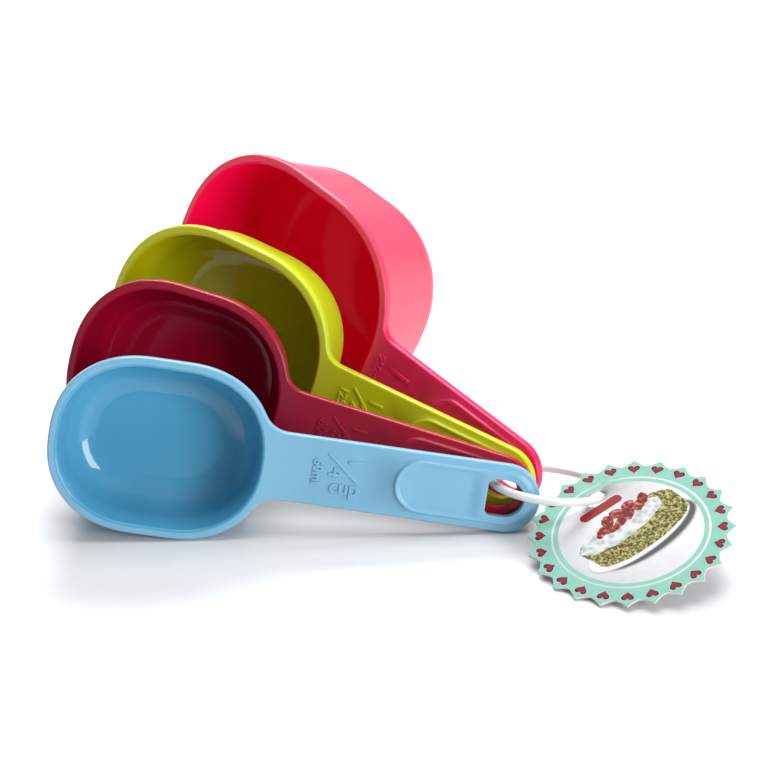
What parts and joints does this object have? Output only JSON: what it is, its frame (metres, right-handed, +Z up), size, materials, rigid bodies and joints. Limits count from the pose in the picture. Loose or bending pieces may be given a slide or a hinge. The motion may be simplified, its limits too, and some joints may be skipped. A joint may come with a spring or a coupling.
{
  "type": "measuring cup set",
  "caption": "Nesting one-piece plastic measuring cups with flat handles, fanned out on edge and held together by a plastic ring that also carries a round toothed card tag.",
  "frame": {"origin": "middle of the whole set's outer box, on the table it stands on", "axes": "+Z up; the cups' mouths face -Y, the smallest cup in front; the handles run to +X, where the ring and the tag are"},
  "size_m": [0.2334, 0.2118, 0.0952],
  "materials": {
    "pink_plastic": "smooth moulded, glossy inside, satin outside",
    "lime_plastic": "smooth moulded, glossy inside, satin outside",
    "dark_red_plastic": "smooth moulded, glossy inside, satin outside",
    "light_blue_plastic": "smooth moulded, glossy inside, satin outside",
    "white_plastic": "smooth moulded, glossy",
    "printed_card": "printed and lightly coated, white back"
  },
  "bodies": {
    "quarter": {"cup_quarter": "light_blue_plastic"},
    "third": {"cup_third": "dark_red_plastic"},
    "half": {"cup_half": "lime_plastic"},
    "one": {"cup_one": "pink_plastic"},
    "ring": {"binder_ring": "white_plastic"},
    "tag": {"swing_tag": "printed_card"}
  },
  "joints": [
    {"name": "third_fan", "type": "hinge", "parent": "quarter", "child": "third", "pos_m": [0.05584, -0.0409, 0.0125], "axis": [0, 0, -1], "range_deg": [-3, 12]},
    {"name": "half_fan", "type": "hinge", "parent": "third", "child": "half", "pos_m": [0.05584, -0.0409, 0.0125], "axis": [0, 0, -1], "range_deg": [-3, 12]},
    {"name": "one_fan", "type": "hinge", "parent": "half", "child": "one", "pos_m": [0.05584, -0.0409, 0.0125], "axis": [0, 0, -1], "range_deg": [0, 12]},
    {"name": "ring_turn", "type": "hinge", "parent": "quarter", "child": "ring", "pos_m": [0.05584, -0.0409, 0.0125], "axis": [0.0976, 0.1952, 0.9759], "range_deg": [0, 20]},
    {"name": "tag_lift", "type": "hinge", "parent": "ring", "child": "tag", "pos_m": [0.07158, -0.0532, 0.01339], "axis": [-0.6092, -0.7637, 0.2137], "range_deg": [0, 30]}
  ]
}
